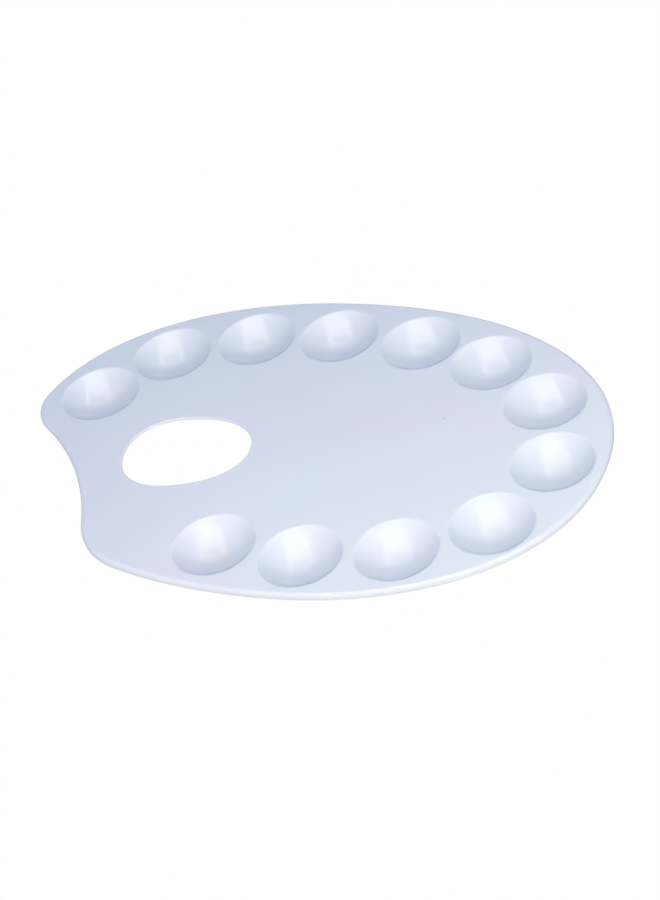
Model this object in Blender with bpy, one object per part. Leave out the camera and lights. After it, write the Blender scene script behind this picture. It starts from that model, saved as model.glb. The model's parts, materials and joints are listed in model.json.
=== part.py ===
"""Oval paint-mixing palette: one plastic moulding with twelve round wells, a thumb hole and a finger notch.

Metres, +Z up. The palette stands on its wells at Z = 0, its long axis is X, and the thumb hole is at
the -X end. The plan shapes below are measured from the oval's own centre, which lies at OVAL_CENTRE_X.
"""

import math

import bmesh
import bpy
from mathutils import Matrix, Vector

# Plan outline: an egg made of two half superellipses that meet at their widest section.
OVAL_CENTRE_X = 0.0051
HALF_LENGTH_THUMB_END = 0.177
HALF_LENGTH_ROUND_END = 0.1658
HALF_WIDTH = 0.1163
OVAL_EXPONENT = 2.15

# Finger notch: a large circle that bites into the thumb end, with a rounded corner on each side of it.
NOTCH_CENTRE = Vector((-0.2595, -0.146))
NOTCH_RADIUS = 0.167
UPPER_CORNER_RADIUS = 0.025
LOWER_CORNER_RADIUS = 0.048

# Thumb hole: an egg, turned a little. Its edge is the sheet's own, rounded off.
HOLE_CENTRE = Vector((-0.075, -0.0198))
HOLE_HALF_LENGTH_BLUNT_END = 0.031
HOLE_HALF_LENGTH_LONG_END = 0.0427
HOLE_HALF_WIDTH = 0.0275
HOLE_EXPONENT = 2.17
HOLE_TILT = math.radians(12.4)
HOLE_EDGE_RADIUS = 0.0007

# Sheet and turned-down rim.
WALL = 0.0018
RIM_DEPTH = 0.004
RIM_RADIUS = 0.002

# Wells: a spherical bowl with a rounded brim, and a small flat foot under it.
WELL_RADIUS = 0.0236
WELL_DEPTH = 0.009
BRIM_RADIUS = 0.0025
FOOT_RADIUS = 0.005
WELL_CENTRES = (
    (-0.1426, 0.0206),
    (-0.1136, 0.0588),
    (-0.0674, 0.0775),
    (-0.0186, 0.0857),
    (0.0318, 0.0848),
    (0.078, 0.073),
    (0.1184, 0.0457),
    (0.1376, 0.0001),
    (0.121, -0.049),
    (0.0776, -0.0748),
    (0.0282, -0.0868),
    (-0.0224, -0.086),
)

# Facets.
OVAL_STEPS = 64
CORNER_STEPS = 6
NOTCH_STEPS = 8
HOLE_STEPS = 36
WELL_STEPS = 18
BOWL_RINGS = 4
ROUND_STEPS = 2

PLATE_HEIGHT = WELL_DEPTH + WALL
BOWL_RADIUS = (WELL_RADIUS**2 + WELL_DEPTH**2) / (2 * WELL_DEPTH) - BRIM_RADIUS


def clear_scene():
    for obj in list(bpy.data.objects):
        bpy.data.objects.remove(obj, do_unlink=True)


def signed_power(value, power):
    return math.copysign(abs(value) ** power, value)


def superellipse(angle, half_length, half_width, exponent):
    """The point of a superellipse at a parameter angle, and the outward normal there."""
    c = math.cos(angle)
    s = math.sin(angle)
    point = Vector((half_length * signed_power(c, 2 / exponent), half_width * signed_power(s, 2 / exponent)))
    slope = 2 - 2 / exponent
    normal = Vector((signed_power(c, slope) / half_length, signed_power(s, slope) / half_width))
    return point, normal.normalized()


def oval(angle):
    half_length = HALF_LENGTH_ROUND_END if math.cos(angle) >= 0 else HALF_LENGTH_THUMB_END
    return superellipse(angle, half_length, HALF_WIDTH, OVAL_EXPONENT)


def corner_centre(angle, radius):
    """The centre of a corner arc that touches the oval from inside at this parameter angle."""
    point, normal = oval(angle)
    return point - radius * normal


def corner_angle(radius, low, high):
    """Where on the oval a corner arc of this radius also touches the notch circle, by bisection."""

    def gap(angle):
        return (corner_centre(angle, radius) - NOTCH_CENTRE).length - NOTCH_RADIUS - radius

    low_side = gap(low) > 0
    for _ in range(50):
        middle = (low + high) / 2
        if (gap(middle) > 0) == low_side:
            low = middle
        else:
            high = middle
    return (low + high) / 2


def heading(vector):
    return math.atan2(vector.y, vector.x)


def arc(centre, radius, start, end, steps, side=1):
    """Points and outward normals along an arc, without its two ends; side is -1 for a hollow arc."""
    stretch = []
    for step in range(1, steps):
        angle = start + (end - start) * step / steps
        direction = Vector((math.cos(angle), math.sin(angle)))
        stretch.append((centre + radius * direction, side * direction))
    return stretch


def corner_arc(centre, radius, start, end):
    """A convex corner, always taken anticlockwise."""
    return arc(centre, radius, start, start + (end - start) % math.tau, CORNER_STEPS)


def outline_path():
    """The palette's edge, anticlockwise, as (point, outward normal) pairs."""
    upper = corner_angle(UPPER_CORNER_RADIUS, math.radians(140), math.radians(205))
    lower = corner_angle(LOWER_CORNER_RADIUS, math.radians(205), math.radians(269))
    upper_centre = corner_centre(upper, UPPER_CORNER_RADIUS)
    lower_centre = corner_centre(lower, LOWER_CORNER_RADIUS)
    to_upper = upper_centre - NOTCH_CENTRE
    to_lower = lower_centre - NOTCH_CENTRE

    start = lower - math.tau
    path = [oval(start + (upper - start) * step / OVAL_STEPS) for step in range(OVAL_STEPS + 1)]
    path += corner_arc(upper_centre, UPPER_CORNER_RADIUS, heading(oval(upper)[1]), heading(-to_upper))
    path.append((NOTCH_CENTRE + NOTCH_RADIUS * to_upper.normalized(), -to_upper.normalized()))
    path += arc(NOTCH_CENTRE, NOTCH_RADIUS, heading(to_upper), heading(to_lower), NOTCH_STEPS, side=-1)
    path.append((NOTCH_CENTRE + NOTCH_RADIUS * to_lower.normalized(), -to_lower.normalized()))
    path += corner_arc(lower_centre, LOWER_CORNER_RADIUS, heading(-to_lower), heading(oval(lower)[1]))
    return path


def hole_path():
    """The thumb hole's edge, with normals that point away from the plastic, into the hole."""
    tilt = Matrix.Rotation(HOLE_TILT, 2)
    path = []
    for step in range(HOLE_STEPS):
        angle = math.tau * step / HOLE_STEPS
        half_length = HOLE_HALF_LENGTH_LONG_END if math.cos(angle) >= 0 else HOLE_HALF_LENGTH_BLUNT_END
        point, normal = superellipse(angle, half_length, HOLE_HALF_WIDTH, HOLE_EXPONENT)
        path.append((HOLE_CENTRE + tilt @ point, -(tilt @ normal)))
    return path


def rim_profile(depth):
    """(inset, height) from the flat plate round the edge and down the rim, this far under the top skin."""
    radius = RIM_RADIUS - depth
    profile = []
    for step in range(ROUND_STEPS + 1):
        turn = math.pi / 2 * step / ROUND_STEPS
        profile.append((RIM_RADIUS - radius * math.sin(turn), radius * math.cos(turn) - RIM_RADIUS))
    profile.append((depth, -RIM_DEPTH))
    return profile


def hole_profile(depth):
    """(inset, height) round one corner of the thumb hole's edge, on the top skin or on the one under it."""
    profile = []
    for step in range(ROUND_STEPS + 1):
        turn = math.pi / 2 * step / ROUND_STEPS
        drop = HOLE_EDGE_RADIUS * (1 - math.cos(turn))
        profile.append((HOLE_EDGE_RADIUS * (1 - math.sin(turn)), drop - depth if depth > 0 else -drop))
    return profile


def edge_loops(path, profile):
    loops = []
    for inset, height in profile:
        loops.append([place(point - inset * normal, height) for point, normal in path])
    return loops


def well_profile(depth):
    """(radius, height) down one well, from the flat plate to its foot, this far under the top skin."""
    brim_radius = BRIM_RADIUS - depth
    bowl_radius = BOWL_RADIUS + depth
    bowl_centre = BOWL_RADIUS - WELL_DEPTH
    brim_angle = math.asin(WELL_RADIUS / (BOWL_RADIUS + BRIM_RADIUS))
    foot_angle = math.asin(FOOT_RADIUS / bowl_radius)
    profile = []
    for step in range(ROUND_STEPS):
        turn = brim_angle * step / ROUND_STEPS
        height = brim_radius * math.cos(turn) - BRIM_RADIUS
        profile.append((WELL_RADIUS - brim_radius * math.sin(turn), height))
    for ring in range(BOWL_RINGS + 1):
        turn = brim_angle + (foot_angle - brim_angle) * ring / BOWL_RINGS
        profile.append((bowl_radius * math.sin(turn), bowl_centre - bowl_radius * math.cos(turn)))
    if depth > 0:
        profile.append((FOOT_RADIUS, -PLATE_HEIGHT))
    return profile


def circle(centre, radius):
    turns = [math.tau * step / WELL_STEPS for step in range(WELL_STEPS)]
    return [Vector(centre) + radius * Vector((math.cos(turn), math.sin(turn))) for turn in turns]


def well_loops(centre, depth):
    loops = []
    for radius, height in well_profile(depth):
        loops.append([place(point, height) for point in circle(centre, radius)])
    return loops


def place(point, height):
    """A plan point and a height above the mixing surface, in the palette's frame."""
    return Vector((point.x + OVAL_CENTRE_X, point.y, PLATE_HEIGHT + height))


def loft(bm, loops):
    """Joins each closed loop of points to the next, and returns their vertices."""
    rings = [[bm.verts.new(point) for point in loop] for loop in loops]
    for ring, following in zip(rings, rings[1:]):
        bridge(bm, ring, following)
    return rings


def bridge(bm, ring, following):
    for index in range(len(ring)):
        after = (index + 1) % len(ring)
        bm.faces.new((ring[index], ring[after], following[after], following[index]))


def cap_bowl(bm, ring, centre):
    """Closes the bottom of a bowl with a fan, its middle at full depth."""
    middle = bm.verts.new(place(Vector(centre), -WELL_DEPTH))
    for index in range(len(ring)):
        bm.faces.new((ring[index], ring[(index + 1) % len(ring)], middle))


def fill_plate(bm, rings):
    """Fills the flat plate between the outline, the thumb hole and the wells."""
    edges = []
    for ring in rings:
        for index in range(len(ring)):
            edges.append(bm.edges.get((ring[index], ring[(index + 1) % len(ring)])))
    bmesh.ops.triangle_fill(bm, use_beauty=True, edges=edges, normal=Vector((0, 0, 1)))


def add_skin(bm, depth):
    """One skin of the moulding, this far under the top skin; returns the ends of its two edges."""
    borders = []
    edge_ends = []
    for path, profile in ((outline_path(), rim_profile(depth)), (hole_path(), hole_profile(depth))):
        rings = loft(bm, edge_loops(path, profile))
        borders.append(rings[0])
        edge_ends.append(rings[-1])
    for centre in WELL_CENTRES:
        rings = loft(bm, well_loops(centre, depth))
        borders.append(rings[0])
        if depth > 0:
            bm.faces.new(rings[-1])
        else:
            cap_bowl(bm, rings[-1], centre)
    fill_plate(bm, borders)
    return edge_ends


def plastic():
    material = bpy.data.materials.new("white_plastic")
    material.use_nodes = True
    shader = material.node_tree.nodes["Principled BSDF"]
    shader.inputs["Base Color"].default_value = (0.78, 0.82, 0.90, 1)
    shader.inputs["Roughness"].default_value = 0.28
    shader.inputs["Metallic"].default_value = 0
    return material


def build_palette():
    bm = bmesh.new()
    top_ends = add_skin(bm, 0)
    under_ends = add_skin(bm, WALL)
    for top_end, under_end in zip(top_ends, under_ends):
        bridge(bm, top_end, under_end)
    bmesh.ops.recalc_face_normals(bm, faces=bm.faces)

    mesh = bpy.data.meshes.new("palette")
    bm.to_mesh(mesh)
    bm.free()
    mesh.shade_smooth()
    mesh.set_sharp_from_angle(angle=math.radians(40))
    palette = bpy.data.objects.new("palette", mesh)
    palette.data.materials.append(plastic())
    bpy.context.scene.collection.objects.link(palette)
    return palette


clear_scene()
build_palette()
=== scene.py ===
"""The looks of an oval paint palette: its one moulding as a fine mesh, gloss plastic, stage and camera.

Metres, +Z up, in the CAD model's frame. The palette stands on its wells at Z = 0 and its long axis is X.
Plan shapes are measured from the oval's own centre, at OVAL_CENTRE_X, and heights from the mixing surface.
"""

import json
import math

import bmesh
import bpy
from mathutils import Matrix, Vector
from mathutils.geometry import delaunay_2d_cdt
from mathutils.kdtree import KDTree


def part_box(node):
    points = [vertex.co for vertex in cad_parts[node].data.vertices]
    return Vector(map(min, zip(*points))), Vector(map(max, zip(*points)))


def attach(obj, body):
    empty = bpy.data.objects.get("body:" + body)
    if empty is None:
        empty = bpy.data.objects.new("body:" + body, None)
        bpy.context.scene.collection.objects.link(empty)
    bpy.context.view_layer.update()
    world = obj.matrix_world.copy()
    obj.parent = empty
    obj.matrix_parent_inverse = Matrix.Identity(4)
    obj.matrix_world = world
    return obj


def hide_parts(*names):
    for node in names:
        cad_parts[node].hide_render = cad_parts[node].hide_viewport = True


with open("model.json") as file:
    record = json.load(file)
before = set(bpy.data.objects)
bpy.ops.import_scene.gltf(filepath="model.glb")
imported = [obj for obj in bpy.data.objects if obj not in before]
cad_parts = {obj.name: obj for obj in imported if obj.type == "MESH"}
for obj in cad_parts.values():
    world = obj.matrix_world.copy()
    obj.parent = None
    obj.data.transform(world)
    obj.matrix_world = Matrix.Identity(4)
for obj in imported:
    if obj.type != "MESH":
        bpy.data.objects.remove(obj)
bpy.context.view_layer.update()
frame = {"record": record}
CAD_LOW, CAD_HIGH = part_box("palette")
OPENINGS = {opening["name"]: opening["box_m"] for opening in frame["record"]["physics"]["openings"]}

# Plan outline: an egg made of two half superellipses that meet at their widest section.
OVAL_CENTRE_X = 0.0051
HALF_LENGTH_THUMB_END = 0.177
HALF_LENGTH_ROUND_END = 0.1658
HALF_WIDTH = 0.1163
OVAL_EXPONENT = 2.15

# Finger notch: a large circle that bites into the thumb end, with a rounded corner on each side of it.
NOTCH_CENTRE = Vector((-0.2595, -0.146))
NOTCH_RADIUS = 0.167
UPPER_CORNER_RADIUS = 0.025
LOWER_CORNER_RADIUS = 0.048

# The stretches of the oval, in degrees, where the two corners are looked for, and how finely.
UPPER_CORNER_STRETCH = (140, 205)
LOWER_CORNER_STRETCH = (205, 269)
HALVINGS = 50

# Thumb hole: an egg, turned a little. Its edge is the sheet's own, rounded off.
HOLE_HALF_LENGTH_BLUNT_END = 0.031
HOLE_HALF_LENGTH_LONG_END = 0.0427
HOLE_HALF_WIDTH = 0.0275
HOLE_EXPONENT = 2.17
HOLE_TILT = math.radians(12.4)
HOLE_EDGE_RADIUS = 0.0007

# Sheet and turned-down rim. The rim's foot has a small round on both its edges.
WALL = 0.0018
RIM_DEPTH = 0.004
RIM_RADIUS = 0.002
RIM_FOOT_ROUND = 0.0004

# Wells: a spherical bowl with a rounded brim, and a small flat foot under it.
WELL_COUNT = 12
WELL_RADIUS = 0.0236
WELL_DEPTH = CAD_HIGH.z - WALL
BRIM_RADIUS = 0.0025
FOOT_RADIUS = 0.005
FOOT_ROUND = 0.00015

# Moulding marks on the underside: shallow discs where pins push the part out of its mould, and the gate.
PIN_RADIUS = 0.003
PIN_RECESS = 0.00015
PIN_PLACES = (
    (-0.128, -0.020),
    (-0.100, -0.060),
    (-0.030, 0.040),
    (-0.024, -0.042),
    (0.040, 0.036),
    (0.040, -0.038),
    (0.088, 0.010),
)
GATE_RADIUS = 0.0016
GATE_HEIGHT = 0.0007
GATE_PLACE = (0.0075, 0.0)

# Fineness of the mesh. Each round has a narrow flat ring beside it, so that the plate shades as flat.
OVAL_STEPS = 230
CORNER_STEPS = 24
NOTCH_STEPS = 40
HOLE_STEPS = 120
WELL_STEPS = 96
BOWL_RINGS = 22
ROUND_STEPS = 6
SMALL_ROUND_STEPS = 3
MARK_STEPS = 32
FLAT_RING = 0.00015
PLATE_GRID = 0.0045
GRID_CLEARANCE = 0.0028
MERGE_DISTANCE = 1e-7
SHARP_EDGE = math.radians(40)

# Plastic: a white that drifts between two casts. For this and every pattern below, a scale counts the
# pattern's features in a metre, and a span says where on its own value a mask begins to change and ends.
PLASTIC_IOR = 1.5
LAVENDER_WHITE = (0.79, 0.83, 0.93)
CYAN_WHITE = (0.78, 0.85, 0.92)
CLOUD_SCALE = 11.0
CLOUD_SPAN = (0.35, 0.65)

# One well keeps a stain, placed from the well's centre.
STAINED_WELL = "well_12"
STAIN_COLOUR = (0.86, 0.76, 0.66)
STAIN_STRENGTH = 0.32
STAIN_OFFSET = (0.0030, -0.0010)
STAIN_HEIGHT = -WELL_DEPTH
STAIN_RADIUS = 0.014
STAIN_EDGE_SCALE = 260.0

# Dust: small flecks, and one grain at its own place. The flecks' span is in widths of a pattern's cell.
SPECK_COLOUR = (0.42, 0.40, 0.38)
SPECK_STRENGTH = 0.5
SPECK_SCALE = 46.0
SPECK_SPAN = (0.008, 0.014)
DUST_GRAIN_PLACE = (0.0679, 0.0253)
DUST_GRAIN_RADIUS = 0.0007

# Scratches run at these angles, in radians, and show in the patches that have been wiped. The size of
# one is given across it, along it and into the plastic.
SCRATCH_ANGLES = (0.35, 1.15, 2.0, 2.75)
SCRATCH_SIZE = (0.0006, 0.028, 0.028)
SCRATCH_SPAN = (0.70, 0.78)
SCRATCH_DEPTH = 0.0000003
WIPED_SCALE = 14.0
WIPED_SPAN = (0.42, 0.60)

# Relief: slow waves, orange peel, and the underside's grain.
WAVE_SCALE = 26.0
WAVE_HEIGHT = 0.00006
PEEL_SCALE = 260.0
PEEL_HEIGHT = 0.00001
GRAIN_SCALE = 1800.0
GRAIN_HEIGHT = 0.00001

# Roughness: the range that handling leaves, and what scratches, the matt underside and wear add to it.
HANDLED_SCALE = 60.0
HANDLED_SPAN = (0.3, 0.7)
HANDLED_ROUGHNESS = (0.14, 0.20)
SCRATCH_ROUGHNESS = 0.05
MATT_ROUGHNESS = 0.22
WORN_ROUGHNESS = 0.15

# Height above the ground where the feet are worn, and how far down a normal points on the underside.
WORN_SPAN = (0.0001, 0.0003)
UNDERSIDE_SPAN = (-0.5, -0.2)

# Camera, with its lens and its sensor in millimetres. Its azimuth is measured from -Y towards +X.
CAMERA_AZIMUTH = math.radians(32.72)
CAMERA_ELEVATION = math.radians(39.37)
CAMERA_ROLL = math.radians(-16.62)
CAMERA_DISTANCE = 1.33
CAMERA_TARGET = Vector((0.0183, -0.0073, CAD_HIGH.z))
CAMERA_LENS = 99.1
CAMERA_SENSOR_WIDTH = 36

# White surroundings.
WHITE = (1, 1, 1)
FLOOR_SIZE = 20
BACKDROP_RADIUS = 9

# Low lights behind the camera: bearing in degrees (0 is straight away from the camera, 90 to its right)
# and power in watts. The elevation is in degrees too.
WALL_LIGHT_DISTANCE = 1.1
WALL_LIGHT_ELEVATION = 31
WALL_LIGHT_SIZE = (0.5, 0.32)
WALL_LIGHTS = ((120, 1.85), (150, 2.05), (180, 2.75), (210, 3.05), (240, 0.9))
LIGHT_COLOUR = (1.0, 0.885, 0.72)

# Overhead lights: name, (left, right, near, far) in metres as the camera sees them, drop below the ceiling,
# power in watts, and whether only the gloss shows it.
CEILING_HEIGHT = 1.5
CEILING_LIGHTS = (
    ("ceiling_panel", (-0.47, 0.50, -0.75, 1.05), 0.0, 1.6, False),
    ("ceiling_gleam", (-0.40, 0.38, -0.75, 0.60), 0.01, 7.5, True),
    ("ceiling_left", (-0.52, -0.46, -0.50, 1.50), 0.02, 3.4, True),
    ("ceiling_right", (0.44, 0.50, -0.50, 1.50), 0.02, 3.0, True),
    ("ceiling_sheen", (-0.27, 0.90, 1.05, 1.95), 0.0, 2.7, True),
)

# How brightly the floor lights the rim and the underside.
FLOOR_BOUNCE = 0.5

# The air's own light.
AMBIENT_COLOUR = (0.60, 0.73, 1.0)
AMBIENT_STRENGTH = 0.54

BOWL_RADIUS = (WELL_RADIUS**2 + WELL_DEPTH**2) / (2 * WELL_DEPTH) - BRIM_RADIUS


# ---------------------------------------------------------------- plan shapes


def opening_centre(name):
    """The middle of one of the record's openings in plan, from the oval's centre."""
    low, high = OPENINGS[name]
    return Vector(((low[0] + high[0]) / 2 - OVAL_CENTRE_X, (low[1] + high[1]) / 2))


def signed_power(value, power):
    return math.copysign(abs(value) ** power, value)


def superellipse(angle, half_length, half_width, exponent):
    """The point of a superellipse at a parameter angle, and the outward normal there."""
    c = math.cos(angle)
    s = math.sin(angle)
    point = Vector((half_length * signed_power(c, 2 / exponent), half_width * signed_power(s, 2 / exponent)))
    slope = 2 - 2 / exponent
    normal = Vector((signed_power(c, slope) / half_length, signed_power(s, slope) / half_width))
    return point, normal.normalized()


def oval(angle):
    half_length = HALF_LENGTH_ROUND_END if math.cos(angle) >= 0 else HALF_LENGTH_THUMB_END
    return superellipse(angle, half_length, HALF_WIDTH, OVAL_EXPONENT)


def corner_centre(angle, radius):
    """The centre of a corner arc that touches the oval from inside at this parameter angle."""
    point, normal = oval(angle)
    return point - radius * normal


def corner_angle(radius, stretch):
    """Where on the oval a corner arc of this radius also touches the notch circle, by bisection."""

    def gap(angle):
        return (corner_centre(angle, radius) - NOTCH_CENTRE).length - NOTCH_RADIUS - radius

    low, high = map(math.radians, stretch)
    low_side = gap(low) > 0
    for _ in range(HALVINGS):
        middle = (low + high) / 2
        if (gap(middle) > 0) == low_side:
            low = middle
        else:
            high = middle
    return (low + high) / 2


def heading(vector):
    return math.atan2(vector.y, vector.x)


def arc(centre, radius, start, end, steps, side=1):
    """Points and outward normals along an arc, without its two ends; side is -1 for a hollow arc."""
    stretch = []
    for step in range(1, steps):
        angle = start + (end - start) * step / steps
        direction = Vector((math.cos(angle), math.sin(angle)))
        stretch.append((centre + radius * direction, side * direction))
    return stretch


def corner_arc(centre, radius, start, end):
    """A convex corner, always taken anticlockwise."""
    return arc(centre, radius, start, start + (end - start) % math.tau, CORNER_STEPS)


def outline_path():
    """The palette's edge, anticlockwise, as (point, outward normal) pairs."""
    upper = corner_angle(UPPER_CORNER_RADIUS, UPPER_CORNER_STRETCH)
    lower = corner_angle(LOWER_CORNER_RADIUS, LOWER_CORNER_STRETCH)
    upper_centre = corner_centre(upper, UPPER_CORNER_RADIUS)
    lower_centre = corner_centre(lower, LOWER_CORNER_RADIUS)
    to_upper = upper_centre - NOTCH_CENTRE
    to_lower = lower_centre - NOTCH_CENTRE

    start = lower - math.tau
    path = [oval(start + (upper - start) * step / OVAL_STEPS) for step in range(OVAL_STEPS + 1)]
    path += corner_arc(upper_centre, UPPER_CORNER_RADIUS, heading(oval(upper)[1]), heading(-to_upper))
    path.append((NOTCH_CENTRE + NOTCH_RADIUS * to_upper.normalized(), -to_upper.normalized()))
    path += arc(NOTCH_CENTRE, NOTCH_RADIUS, heading(to_upper), heading(to_lower), NOTCH_STEPS, side=-1)
    path.append((NOTCH_CENTRE + NOTCH_RADIUS * to_lower.normalized(), -to_lower.normalized()))
    path += corner_arc(lower_centre, LOWER_CORNER_RADIUS, heading(-to_lower), heading(oval(lower)[1]))
    return path


def hole_path():
    """The thumb hole's edge, with normals that point away from the plastic, into the hole."""
    tilt = Matrix.Rotation(HOLE_TILT, 2)
    centre = opening_centre("thumb_hole")
    path = []
    for step in range(HOLE_STEPS):
        angle = math.tau * step / HOLE_STEPS
        half_length = HOLE_HALF_LENGTH_LONG_END if math.cos(angle) >= 0 else HOLE_HALF_LENGTH_BLUNT_END
        point, normal = superellipse(angle, half_length, HOLE_HALF_WIDTH, HOLE_EXPONENT)
        path.append((centre + tilt @ point, -(tilt @ normal)))
    return path


# ---------------------------------------------------------------- cross-sections


def round_off(centre, radius, start, end, steps):
    """Points of a round in a cross-section, both ends included; angles in degrees from the across axis."""
    points = []
    for step in range(steps + 1):
        angle = math.radians(start + (end - start) * step / steps)
        points.append((centre[0] + radius * math.cos(angle), centre[1] + radius * math.sin(angle)))
    return points


def rim_section():
    """(inset, height) round the turned-down rim, from the top of the flat plate to its underside."""
    bend = (RIM_RADIUS, -RIM_RADIUS)
    foot = RIM_FOOT_ROUND - RIM_DEPTH
    section = [(RIM_RADIUS + FLAT_RING, 0)]
    section += round_off(bend, RIM_RADIUS, 90, 180, ROUND_STEPS)
    section += round_off((RIM_FOOT_ROUND, foot), RIM_FOOT_ROUND, 180, 270, SMALL_ROUND_STEPS)
    section += round_off((WALL - RIM_FOOT_ROUND, foot), RIM_FOOT_ROUND, 270, 360, SMALL_ROUND_STEPS)
    section += round_off(bend, RIM_RADIUS - WALL, 180, 90, SMALL_ROUND_STEPS)
    section.append((RIM_RADIUS + FLAT_RING, -WALL))
    return section


def hole_section():
    """(inset, height) round the thumb hole's plain edge, from the top of the flat plate to its underside."""
    radius = HOLE_EDGE_RADIUS
    section = [(radius + FLAT_RING, 0)]
    section += round_off((radius, -radius), radius, 90, 180, ROUND_STEPS)
    section += round_off((radius, radius - WALL), radius, 180, 270, ROUND_STEPS)
    section.append((radius + FLAT_RING, -WALL))
    return section


def well_section(depth):
    """(radius, height) down one well, this far under the top skin, without its middle or its foot."""
    brim = math.degrees(math.asin(WELL_RADIUS / (BOWL_RADIUS + BRIM_RADIUS)))
    foot = math.degrees(math.asin(FOOT_RADIUS / (BOWL_RADIUS + depth))) if depth else brim / BOWL_RINGS
    bowl_centre = (0, BOWL_RADIUS - WELL_DEPTH)
    section = [(WELL_RADIUS + FLAT_RING, -depth)]
    section += round_off((WELL_RADIUS, -BRIM_RADIUS), BRIM_RADIUS - depth, 90, 90 + brim, ROUND_STEPS)
    section += round_off(bowl_centre, BOWL_RADIUS + depth, brim - 90, foot - 90, BOWL_RINGS)[1:]
    return section


def foot_section():
    """(radius, height) of the flat foot under a well."""
    section = round_off(
        (FOOT_RADIUS - FOOT_ROUND, FOOT_ROUND - CAD_HIGH.z), FOOT_ROUND, 0, -90, SMALL_ROUND_STEPS
    )
    section.append((FOOT_RADIUS / 2, -CAD_HIGH.z))
    return section


def pin_section():
    """(radius, height) of a pin mark, which is sunk into the underside."""
    return [
        (PIN_RADIUS + FLAT_RING, -WALL),
        (PIN_RADIUS, -WALL),
        (PIN_RADIUS - PIN_RECESS / 2, PIN_RECESS - WALL),
        (PIN_RADIUS / 2, PIN_RECESS - WALL),
    ]


def gate_section():
    """(radius, height) of the gate's stub, which stands out of the underside."""
    edge = GATE_HEIGHT / 4
    section = [(GATE_RADIUS + FLAT_RING, -WALL), (GATE_RADIUS, -WALL)]
    section += round_off(
        (GATE_RADIUS - edge, edge - WALL - GATE_HEIGHT), edge, 0, -90, SMALL_ROUND_STEPS
    )
    section.append((GATE_RADIUS / 2, -WALL - GATE_HEIGHT))
    return section


# ---------------------------------------------------------------- mesh


def place(point, height):
    """A plan point and a height from the mixing surface, in the CAD model's frame."""
    return Vector((point.x + OVAL_CENTRE_X, point.y, CAD_HIGH.z + height))


def loft(bm, loops):
    """Joins each closed loop of points to the next, and returns their vertices."""
    rings = [[bm.verts.new(point) for point in loop] for loop in loops]
    for ring, following in zip(rings, rings[1:]):
        for index in range(len(ring)):
            after = (index + 1) % len(ring)
            bm.faces.new((ring[index], ring[after], following[after], following[index]))
    return rings


def add_edge(bm, path, section):
    """The rim or the thumb hole's edge; returns its border on the plate's top and on its underside."""
    loops = []
    for inset, height in section:
        loops.append([place(point - inset * normal, height) for point, normal in path])
    rings = loft(bm, loops)
    return rings[0], rings[-1]


def add_turned(bm, centre, section, steps):
    """A round form about an upright axis, closed in its middle; returns its border on the plate."""
    turns = [math.tau * step / steps for step in range(steps)]
    loops = []
    for radius, height in section:
        loops.append([place(centre + radius * Vector((math.cos(a), math.sin(a))), height) for a in turns])
    rings = loft(bm, loops)
    last = rings[-1]
    is_bowl = section[0][1] == 0
    middle_height = -WELL_DEPTH if is_bowl else section[-1][1]
    middle = bm.verts.new(place(centre, middle_height))
    for index in range(steps):
        bm.faces.new((last[index], last[(index + 1) % steps], middle))
    return rings[0]


def grid_points(border):
    """Points of an even triangular grid over the plate that keep clear of its border."""
    tree = KDTree(len(border))
    for index, vertex in enumerate(border):
        tree.insert((vertex.co.x, vertex.co.y, 0), index)
    tree.balance()
    row_height = PLATE_GRID * math.sqrt(3) / 2
    rows = math.ceil((CAD_HIGH.y - CAD_LOW.y) / row_height)
    columns = math.ceil((CAD_HIGH.x - CAD_LOW.x) / PLATE_GRID)
    points = []
    for row in range(rows):
        for column in range(columns):
            x = CAD_LOW.x + PLATE_GRID * (column + row % 2 / 2)
            y = CAD_LOW.y + row_height * row
            if tree.find((x, y, 0))[2] > GRID_CLEARANCE:
                points.append(Vector((x, y)))
    return points


def fill_plate(bm, rings):
    """Fills the flat plate between its borders with even triangles."""
    border = [vertex for ring in rings for vertex in ring]
    loops = []
    start = 0
    for ring in rings:
        loops.append(range(start, start + len(ring)))
        start += len(ring)
    points = [vertex.co.xy for vertex in border] + grid_points(border)
    inside_with_holes = 2
    found, _, faces, origins, _, _ = delaunay_2d_cdt(points, [], loops, inside_with_holes, MERGE_DISTANCE)
    height = border[0].co.z
    vertices = {}
    for face in faces:
        for index in face:
            if index not in vertices:
                origin = origins[index][0]
                known = border[origin] if origin < len(border) else None
                vertices[index] = known or bm.verts.new((found[index].x, found[index].y, height))
        bm.faces.new([vertices[index] for index in face])


def well_centres():
    return [opening_centre(f"well_{number:02}") for number in range(1, WELL_COUNT + 1)]


def fit_to_cad(mesh):
    """Sets the fine mesh's plan to the CAD model's box, which that model's facets leave a hair smaller."""
    low = Vector(map(min, zip(*(vertex.co for vertex in mesh.vertices))))
    high = Vector(map(max, zip(*(vertex.co for vertex in mesh.vertices))))
    for vertex in mesh.vertices:
        for axis in (0, 1):
            share = (vertex.co[axis] - low[axis]) / (high[axis] - low[axis])
            vertex.co[axis] = CAD_LOW[axis] + share * (CAD_HIGH[axis] - CAD_LOW[axis])


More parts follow.
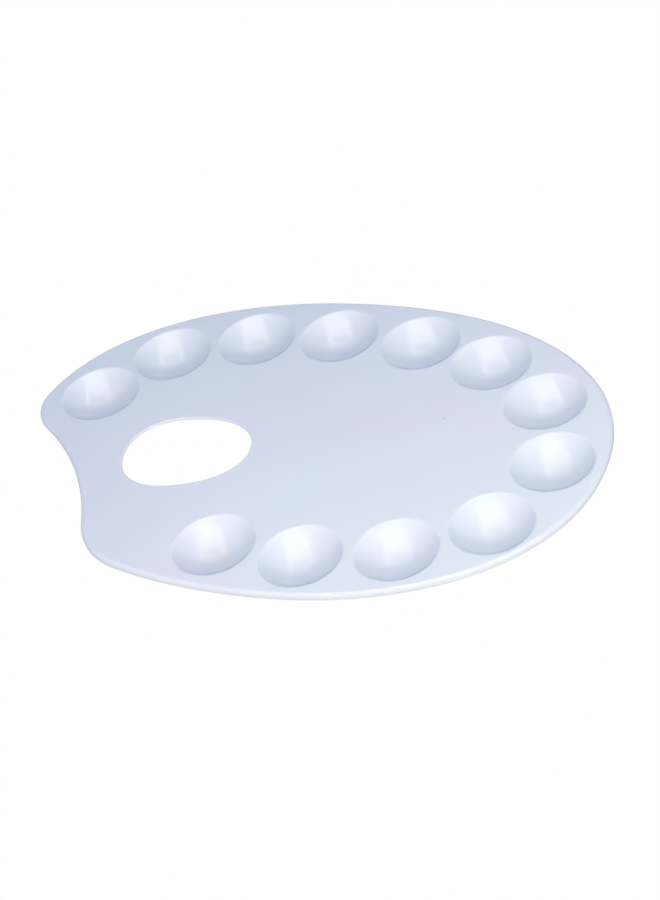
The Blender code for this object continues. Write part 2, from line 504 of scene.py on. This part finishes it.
def build_moulding():
    bm = bmesh.new()
    tops = []
    undersides = []
    for path, section in ((outline_path(), rim_section()), (hole_path(), hole_section())):
        top, underside = add_edge(bm, path, section)
        tops.append(top)
        undersides.append(underside)
    for centre in well_centres():
        tops.append(add_turned(bm, centre, well_section(0), WELL_STEPS))
        undersides.append(add_turned(bm, centre, well_section(WALL) + foot_section(), WELL_STEPS))
    for centre in PIN_PLACES:
        undersides.append(add_turned(bm, Vector(centre), pin_section(), MARK_STEPS))
    undersides.append(add_turned(bm, Vector(GATE_PLACE), gate_section(), MARK_STEPS))
    fill_plate(bm, tops)
    fill_plate(bm, undersides)
    bmesh.ops.recalc_face_normals(bm, faces=bm.faces)

    mesh = bpy.data.meshes.new("moulding")
    bm.to_mesh(mesh)
    bm.free()
    fit_to_cad(mesh)
    mesh.shade_smooth()
    mesh.set_sharp_from_angle(angle=SHARP_EDGE)
    moulding = bpy.data.objects.new("moulding", mesh)
    bpy.context.scene.collection.objects.link(moulding)
    return moulding


# ---------------------------------------------------------------- plastic


def add_node(tree, kind, inputs=None, **settings):
    """A shader node with its settings, and with each named input set to a value or linked to a socket."""
    node = tree.nodes.new(kind)
    for name, value in settings.items():
        setattr(node, name, value)
    for name, value in (inputs or {}).items():
        if isinstance(value, bpy.types.NodeSocket):
            tree.links.new(value, node.inputs[name])
        else:
            node.inputs[name].default_value = value
    return node


def noise(tree, where, scale, detail=2.0):
    node = add_node(tree, "ShaderNodeTexNoise", {"Vector": where, "Scale": scale, "Detail": detail})
    return node.outputs["Fac"]


def remap(tree, value, low, high, to_low=0.0, to_high=1.0, smooth=False):
    node = add_node(
        tree,
        "ShaderNodeMapRange",
        {"Value": value, "From Min": low, "From Max": high, "To Min": to_low, "To Max": to_high},
        interpolation_type="SMOOTHSTEP" if smooth else "LINEAR",
    )
    return node.outputs["Result"]


def combine(tree, operation, first, second):
    node = add_node(tree, "ShaderNodeMath", {0: first, 1: second}, operation=operation)
    return node.outputs["Value"]


def distance(tree, where, centre):
    node = add_node(tree, "ShaderNodeVectorMath", {0: where, 1: centre}, operation="DISTANCE")
    return node.outputs["Value"]


def z_of(tree, vector):
    return add_node(tree, "ShaderNodeSeparateXYZ", {"Vector": vector}).outputs["Z"]


def bump(tree, height, reach, coarser=None, invert=False):
    """Relief of this reach as a normal, added to a coarser relief's normal if there is one."""
    inputs = {"Height": height, "Distance": reach}
    if coarser:
        inputs["Normal"] = coarser
    return add_node(tree, "ShaderNodeBump", inputs, invert=invert).outputs["Normal"]


def blend(tree, factor, first, second):
    """A colour between two others, each of them a colour or a socket."""
    node = add_node(tree, "ShaderNodeMix", {"Factor": factor, "A": first, "B": second}, data_type="RGBA")
    return node.outputs["Result"]


def scratches(tree, where, heading_angle):
    """Fine broken lines in one direction, as a mask."""
    turned = add_node(
        tree,
        "ShaderNodeMapping",
        {"Vector": where, "Rotation": (0, 0, heading_angle), "Scale": SCRATCH_SIZE},
        vector_type="TEXTURE",
    )
    lines = noise(tree, turned.outputs["Vector"], scale=1.0, detail=1.0)
    return remap(tree, lines, *SCRATCH_SPAN, smooth=True)


def all_scratches(tree, where):
    """Scratches in every direction, only in the patches where the plastic has been wiped."""
    mask = None
    for angle in SCRATCH_ANGLES:
        lines = scratches(tree, where, angle)
        mask = combine(tree, "MAXIMUM", mask, lines) if mask else lines
    wiped = remap(tree, noise(tree, where, WIPED_SCALE), *WIPED_SPAN, smooth=True)
    return combine(tree, "MULTIPLY", mask, wiped)


def stain(tree, where):
    """What dried paint left behind low in one well: a soft uneven blob, as a mask."""
    centre = place(opening_centre(STAINED_WELL) + Vector(STAIN_OFFSET), STAIN_HEIGHT)
    unevenness = noise(tree, where, STAIN_EDGE_SCALE, detail=3.0)
    wobble = remap(tree, unevenness, 0.0, 1.0, -STAIN_RADIUS / 2, STAIN_RADIUS / 2)
    uneven_distance = combine(tree, "ADD", distance(tree, where, centre), wobble)
    return remap(tree, uneven_distance, 0.0, STAIN_RADIUS, 1.0, 0.0, smooth=True)


def specks(tree, where):
    """Dust in the plastic, as a mask: a fleck in each cell of a loose pattern, and one larger grain."""
    cells = add_node(tree, "ShaderNodeTexVoronoi", {"Vector": where, "Scale": SPECK_SCALE})
    flecks = remap(tree, cells.outputs["Distance"], *SPECK_SPAN, 1.0, 0.0, smooth=True)
    from_grain = distance(tree, where, place(Vector(DUST_GRAIN_PLACE), 0))
    grain = remap(tree, from_grain, DUST_GRAIN_RADIUS / 2, DUST_GRAIN_RADIUS, 1.0, 0.0, smooth=True)
    return combine(tree, "MAXIMUM", flecks, grain)


def underside(tree):
    """Where the plastic faces down, as a mask."""
    normal = add_node(tree, "ShaderNodeNewGeometry").outputs["True Normal"]
    return remap(tree, z_of(tree, normal), *UNDERSIDE_SPAN, 1.0, 0.0)


def plastic_colour(tree, where):
    """White with a cold cast that drifts between lavender and cyan, a stain in one well and a few specks."""
    cloud = remap(tree, noise(tree, where, CLOUD_SCALE), *CLOUD_SPAN, smooth=True)
    white = blend(tree, cloud, (*LAVENDER_WHITE, 1), (*CYAN_WHITE, 1))
    tint = combine(tree, "MULTIPLY", stain(tree, where), STAIN_STRENGTH)
    stained = blend(tree, tint, white, (*STAIN_COLOUR, 1))
    dust = combine(tree, "MULTIPLY", specks(tree, where), SPECK_STRENGTH)
    return blend(tree, dust, stained, (*SPECK_COLOUR, 1))


def plastic_roughness(tree, where, lines, below):
    """Glossy, uneven from handling, duller along scratches, on the mould's matt side and where it stands."""
    handling = noise(tree, where, HANDLED_SCALE, detail=4.0)
    handled = remap(tree, handling, *HANDLED_SPAN, *HANDLED_ROUGHNESS)
    scratched = combine(tree, "ADD", handled, combine(tree, "MULTIPLY", lines, SCRATCH_ROUGHNESS))
    matt = combine(tree, "ADD", scratched, combine(tree, "MULTIPLY", below, MATT_ROUGHNESS))
    worn = remap(tree, z_of(tree, where), *WORN_SPAN, WORN_ROUGHNESS, 0.0)
    return combine(tree, "ADD", matt, worn)


def plastic_normal(tree, where, lines, below):
    """Slow waves from the mould's cooling, a fine orange peel, scratches, and grain on the underside."""
    waves = bump(tree, noise(tree, where, WAVE_SCALE, detail=1.0), WAVE_HEIGHT)
    peel = bump(tree, noise(tree, where, PEEL_SCALE), PEEL_HEIGHT, waves)
    cuts = bump(tree, lines, SCRATCH_DEPTH, peel, invert=True)
    grain = combine(tree, "MULTIPLY", noise(tree, where, GRAIN_SCALE, detail=3.0), below)
    return bump(tree, grain, GRAIN_HEIGHT, cuts)


def gloss_plastic():
    material = bpy.data.materials.new("gloss_plastic")
    material.use_nodes = True
    tree = material.node_tree
    shader = tree.nodes["Principled BSDF"]
    shader.inputs["IOR"].default_value = PLASTIC_IOR
    where = add_node(tree, "ShaderNodeTexCoord").outputs["Object"]
    lines = all_scratches(tree, where)
    below = underside(tree)
    tree.links.new(plastic_colour(tree, where), shader.inputs["Base Color"])
    tree.links.new(plastic_roughness(tree, where, lines, below), shader.inputs["Roughness"])
    tree.links.new(plastic_normal(tree, where, lines, below), shader.inputs["Normal"])
    return material


# ---------------------------------------------------------------- stage, light and camera


def build_camera():
    back = Vector(
        (
            math.sin(CAMERA_AZIMUTH) * math.cos(CAMERA_ELEVATION),
            -math.cos(CAMERA_AZIMUTH) * math.cos(CAMERA_ELEVATION),
            math.sin(CAMERA_ELEVATION),
        )
    )
    camera = bpy.data.objects.new("camera", bpy.data.cameras.new("camera"))
    camera.data.lens = CAMERA_LENS
    camera.data.sensor_width = CAMERA_SENSOR_WIDTH
    camera.matrix_world = (
        Matrix.Translation(CAMERA_TARGET + CAMERA_DISTANCE * back)
        @ back.to_track_quat("Z", "Y").to_matrix().to_4x4()
        @ Matrix.Rotation(CAMERA_ROLL, 4, "Z")
    )
    bpy.context.scene.collection.objects.link(camera)
    bpy.context.scene.camera = camera


def white_glow(name, strength):
    material = bpy.data.materials.new(name)
    material.use_nodes = True
    tree = material.node_tree
    tree.nodes.clear()
    glow = add_node(tree, "ShaderNodeEmission", {"Color": (*WHITE, 1), "Strength": strength})
    output = add_node(tree, "ShaderNodeOutputMaterial")
    tree.links.new(glow.outputs["Emission"], output.inputs["Surface"])
    return material


def hide_from_light(surround):
    """Leaves an object to the camera alone, so that it lights nothing and shades nothing."""
    surround.visible_diffuse = False
    surround.visible_glossy = False
    surround.visible_transmission = False
    surround.visible_shadow = False


def glowing_plane(name, strength):
    bpy.ops.mesh.primitive_plane_add(size=FLOOR_SIZE)
    plane = bpy.context.object
    plane.name = name
    plane.data.materials.append(white_glow(name, strength))
    return plane


def build_floor():
    """A white floor for the camera, and a dimmer one in its place that lights the palette from below."""
    hide_from_light(glowing_plane("floor", 1.0))
    glowing_plane("floor_bounce", FLOOR_BOUNCE).visible_camera = False


def build_backdrop():
    """A white dome round the stage that only the camera sees."""
    bpy.ops.mesh.primitive_uv_sphere_add(segments=48, ring_count=24, radius=BACKDROP_RADIUS)
    dome = bpy.context.object
    dome.name = "backdrop"
    dome.data.materials.append(white_glow("backdrop", 1.0))
    hide_from_light(dome)


def build_world():
    world = bpy.data.worlds.new("studio")
    world.use_nodes = True
    background = world.node_tree.nodes["Background"]
    background.inputs["Color"].default_value = (*AMBIENT_COLOUR, 1)
    background.inputs["Strength"].default_value = AMBIENT_STRENGTH
    bpy.context.scene.world = world


def area_light(name, position, back, size, power):
    """A soft light, with its position and the way its back points as (right, away, up) for the camera."""
    data = bpy.data.lights.new(name, "AREA")
    data.shape = "RECTANGLE"
    data.size, data.size_y = size
    data.energy = power
    data.color = LIGHT_COLOUR
    light = bpy.data.objects.new(name, data)
    turn = Matrix.Rotation(CAMERA_AZIMUTH, 4, "Z")
    aim = back.to_track_quat("Z", "Y").to_matrix().to_4x4()
    light.matrix_world = turn @ Matrix.Translation(position) @ aim
    light.visible_camera = False
    bpy.context.scene.collection.objects.link(light)
    return light


def build_wall_lights():
    """A low curved wall of light behind the camera that doesn't show in the gloss."""
    elevation = math.radians(WALL_LIGHT_ELEVATION)
    for bearing, power in WALL_LIGHTS:
        angle = math.radians(bearing)
        reach = math.cos(elevation)
        outward = Vector((reach * math.sin(angle), reach * math.cos(angle), math.sin(elevation)))
        position = WALL_LIGHT_DISTANCE * outward
        light = area_light(f"wall_{bearing}", position, outward, WALL_LIGHT_SIZE, power)
        light.visible_glossy = False


def build_ceiling_lights():
    """A broad panel overhead, and the brighter shapes that show only as reflections in the gloss."""
    for name, (left, right, near, far), drop, power, gloss_only in CEILING_LIGHTS:
        position = Vector(((left + right) / 2, (near + far) / 2, CEILING_HEIGHT - drop))
        light = area_light(name, position, Vector((0, 0, 1)), (right - left, far - near), power)
        light.visible_diffuse = not gloss_only


build_camera()
build_floor()
build_backdrop()
build_world()
build_wall_lights()
build_ceiling_lights()
bpy.context.scene.view_settings.view_transform = "Standard"

moulding = build_moulding()
moulding.data.materials.append(gloss_plastic())
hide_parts("palette")
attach(moulding, "root")
